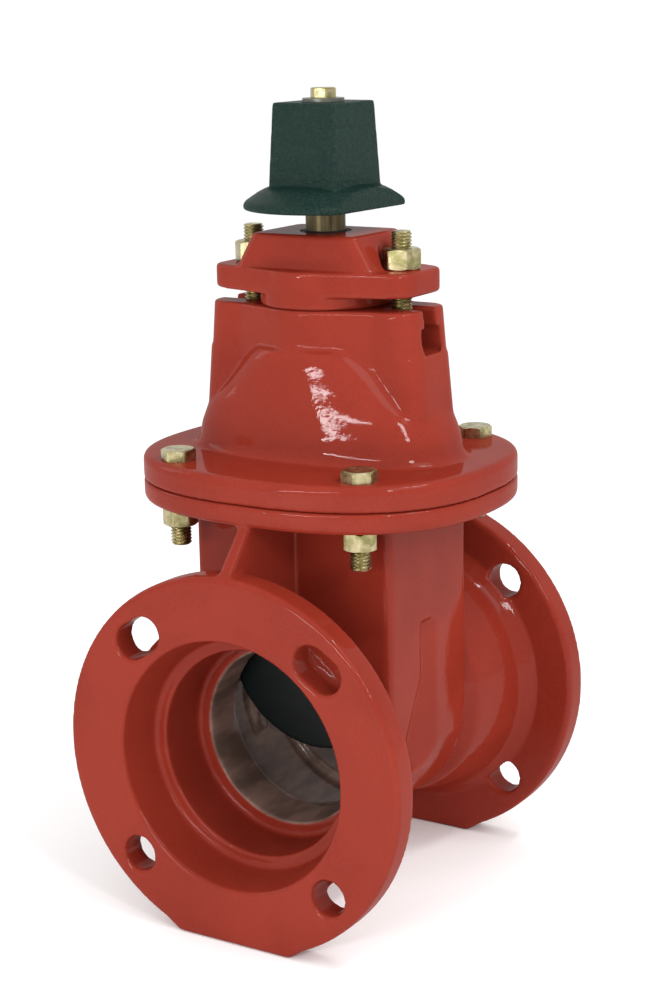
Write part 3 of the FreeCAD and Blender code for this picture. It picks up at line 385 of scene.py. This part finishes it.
def paint(material, *names):
    """Puts one material on the CAD nodes with these names."""
    for name in names:
        slots = NODES[name].data.materials
        if not len(slots):
            slots.append(material)
        for i in range(len(slots)):
            slots[i] = material


def cast(name, voxel, rounds):
    """Gives a CAD node the rounded edges of a casting, through modifiers only."""
    obj = NODES[name]
    remesh = obj.modifiers.new("cast_skin", "REMESH")
    remesh.mode = "VOXEL"
    remesh.voxel_size = voxel
    remesh.use_smooth_shade = True
    smooth = obj.modifiers.new("cast_edges", "SMOOTH")
    smooth.factor = 0.5
    smooth.iterations = rounds


# ---------------------------------------------------------------- fasteners


def centres(node, top=False):
    """Centres of the round ends of a group of upright bolts, at their lower or upper end."""
    points = [v.co for v in NODES[node].data.vertices]
    end = max(p.z for p in points) if top else min(p.z for p in points)
    rings = []
    for p in points:
        if abs(p.z - end) > 0.2 * MM:
            continue
        near = [ring for ring in rings if (ring[0] - p).length < 20 * MM]
        if near:
            near[0].append(p)
        else:
            rings.append([p])
    spots = []
    for ring in rings:
        xs, ys = [p.x for p in ring], [p.y for p in ring]
        spots.append(Vector(((min(xs) + max(xs)) / 2, (min(ys) + max(ys)) / 2, 0)))
    return sorted(spots, key=lambda p: (-round(p.x, 3), -round(p.y, 3)))


def skin(mesh, at, profile, segments):
    """A closed turned skin. Each entry of profile gives (radius, height) for an angle."""
    rings = []
    for ring in profile:
        row = []
        for k in range(segments):
            theta = 2 * math.pi * k / segments
            radius, height = ring(theta)
            x, y = at.x + radius * math.cos(theta), at.y + radius * math.sin(theta)
            row.append(mesh.verts.new((x, y, height)))
        rings.append(row)
    for below, above in zip(rings, rings[1:]):
        for k in range(segments):
            j = (k + 1) % segments
            mesh.faces.new((below[k], below[j], above[j], above[k]))
    mesh.faces.new(list(reversed(rings[0])))
    mesh.faces.new(rings[-1])


def threaded_rod(mesh, at, radius, low, high, pitch, depth, segments=48, steps=6):
    """A rod with a single-start screw thread and chamfered ends."""
    count = max(2, int((high - low) / pitch * steps))

    def ring(z):
        def point(theta):
            phase = (z / pitch - theta / (2 * math.pi)) % 1.0
            groove = abs(2 * phase - 1)
            flat = min(1.0, max(0.0, 1.25 * groove - 0.12))
            end = min(z - low, high - z)
            limit = radius - depth * 1.1 + end
            return min(radius - depth * (1 - flat), max(limit, radius * 0.5)), z
        return point

    skin(mesh, at, [ring(low + (high - low) * i / count) for i in range(count + 1)], segments)


def hexagon(mesh, at, flats, low, high, turn, chamfer_low, chamfer_high, segments=72):
    """A hexagonal prism with the usual thirty degree chamfers at its ends."""
    inner = flats / 2 * 0.97
    slope = math.tan(math.radians(30))

    def corner(theta):
        offset = (math.degrees(theta) - turn) % 60 - 30
        return flats / 2 / math.cos(math.radians(offset)) - 0.25 * MM * (abs(offset) / 30) ** 8

    def drop(theta, chamfered):
        return (corner(theta) - inner) * slope if chamfered else 0.0

    profile = [
        lambda theta: (inner if chamfer_low else corner(theta) - 0.1 * MM, low),
        lambda theta: (corner(theta), low + drop(theta, chamfer_low) + 0.1 * MM),
        lambda theta: (corner(theta), high - drop(theta, chamfer_high) - 0.1 * MM),
        lambda theta: (inner if chamfer_high else corner(theta) - 0.1 * MM, high),
    ]
    skin(mesh, at, profile, segments)


def finish_fastener(mesh, name, node, material, sharp=25):
    """Turns a bmesh into an object that stands for a CAD node and rides on its body."""
    bmesh.ops.recalc_face_normals(mesh, faces=mesh.faces)
    data = bpy.data.meshes.new(name)
    mesh.to_mesh(data)
    mesh.free()
    data.materials.append(material)
    data.polygons.foreach_set("use_smooth", [True] * len(data.polygons))
    data.set_sharp_from_angle(angle=math.radians(sharp))
    obj = bpy.data.objects.new(name, data)
    bpy.context.scene.collection.objects.link(obj)
    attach(obj, NODES[node]["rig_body"])
    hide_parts(node)
    return obj


def bonnet_fasteners(zinc):
    """Four bolts down through both flanges, with their nuts under the body flange."""
    low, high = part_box("bonnet_bolts")
    nut_low, nut_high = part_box("bonnet_nuts")
    thread_end = nut_high.z + THREAD_ABOVE_NUT
    shank = [lambda t: (BOLT_RADIUS, thread_end), lambda t: (BOLT_RADIUS, high.z - BOLT_HEAD / 2)]
    bolts, nuts = bmesh.new(), bmesh.new()
    for at, head_turn, nut_turn in zip(centres("bonnet_bolts"), HEAD_TURNS, NUT_TURNS):
        threaded_rod(bolts, at, BOLT_RADIUS, low.z, thread_end, **BOLT_THREAD)
        skin(bolts, at, shank, 48)
        hexagon(bolts, at, BOLT_FLATS, high.z - BOLT_HEAD, high.z, head_turn, False, True)
        hexagon(nuts, at, BOLT_FLATS, nut_low.z, nut_high.z, nut_turn, True, True)
    finish_fastener(bolts, "bonnet_bolts_visual", "bonnet_bolts", zinc)
    finish_fastener(nuts, "bonnet_nuts_visual", "bonnet_nuts", zinc)


def plate_fasteners(zinc):
    """Two bolts up from the lugs' slots, with their nuts on the plate's ears."""
    low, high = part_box("plate_bolts")
    nut_low, nut_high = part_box("plate_nuts")
    head_top = low.z + BOLT_HEAD
    bolts, nuts = bmesh.new(), bmesh.new()
    for at, turn in zip(centres("plate_bolts", top=True), PLATE_NUT_TURNS):
        threaded_rod(bolts, at, BOLT_RADIUS, head_top - HEAD_OVERLAP, high.z, **BOLT_THREAD)
        hexagon(bolts, at, BOLT_FLATS, low.z, head_top, PLATE_HEAD_TURN, True, False)
        hexagon(nuts, at, PLATE_NUT_FLATS, nut_low.z, nut_high.z, turn, True, True)
    finish_fastener(bolts, "plate_bolts_visual", "plate_bolts", zinc)
    finish_fastener(nuts, "plate_nuts_visual", "plate_nuts", zinc)


def cap_bolt(zinc):
    """The bolt that holds the operating nut on the stem."""
    low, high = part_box("operating_nut_bolt")
    at = Vector((0, 0, 0))
    under_head = high.z - CAP_HEAD
    mesh = bmesh.new()
    threaded_rod(mesh, at, CAP_RADIUS, low.z, under_head + HEAD_OVERLAP, **CAP_THREAD)
    hexagon(mesh, at, CAP_FLATS, under_head, high.z, CAP_TURN, False, True)
    finish_fastener(mesh, "operating_nut_bolt_visual", "operating_nut_bolt", zinc)


# ---------------------------------------------------------------- the whole


def finishes():
    """Every CAD node gets its material."""
    red = red_epoxy()
    paint(body_epoxy(), "valve_body")
    paint(red, "bonnet", "stuffing_plate")
    paint(green_enamel(), "operating_nut")
    paint(dull_bronze(), "stem", "stem_nut")
    paint(plain("washer_bronze", (0.30, 0.22, 0.10), 0.4, 0.9),
          "thrust_washer_lower", "thrust_washer_upper")
    paint(plain("bushing_polymer", (0.35, 0.33, 0.28), 0.5), "stem_bushing")
    paint(plain("black_rubber", (0.012, 0.012, 0.013), 0.6, grain=900),
          "bonnet_gasket", "plate_seal", "stem_seals", "stem_seal_lower", "dirt_seal")
    paint(plain("wedge_rubber_green", (0.003, 0.006, 0.006), 0.35, specular=0.2),
          "wedge_rubber")
    paint(plain("wedge_iron", (0.10, 0.095, 0.09), 0.6, 0.6), "wedge_core")
    paint(plain("guide_polymer", (0.03, 0.03, 0.032), 0.45),
          "wedge_guide_right", "wedge_guide_left")
    paint(plain("dark_zinc", (0.13, 0.13, 0.11), 0.4, 0.8), "operating_nut_washer")
    zinc = yellow_zinc()
    paint(zinc, "bonnet_bolts", "bonnet_nuts", "plate_bolts", "plate_nuts",
          "operating_nut_bolt")
    bonnet_fasteners(zinc)
    plate_fasteners(zinc)
    cap_bolt(zinc)


camera()
studio()
finishes()
for node, voxel, rounds in CAST_SKINS:
    cast(node, voxel, rounds)
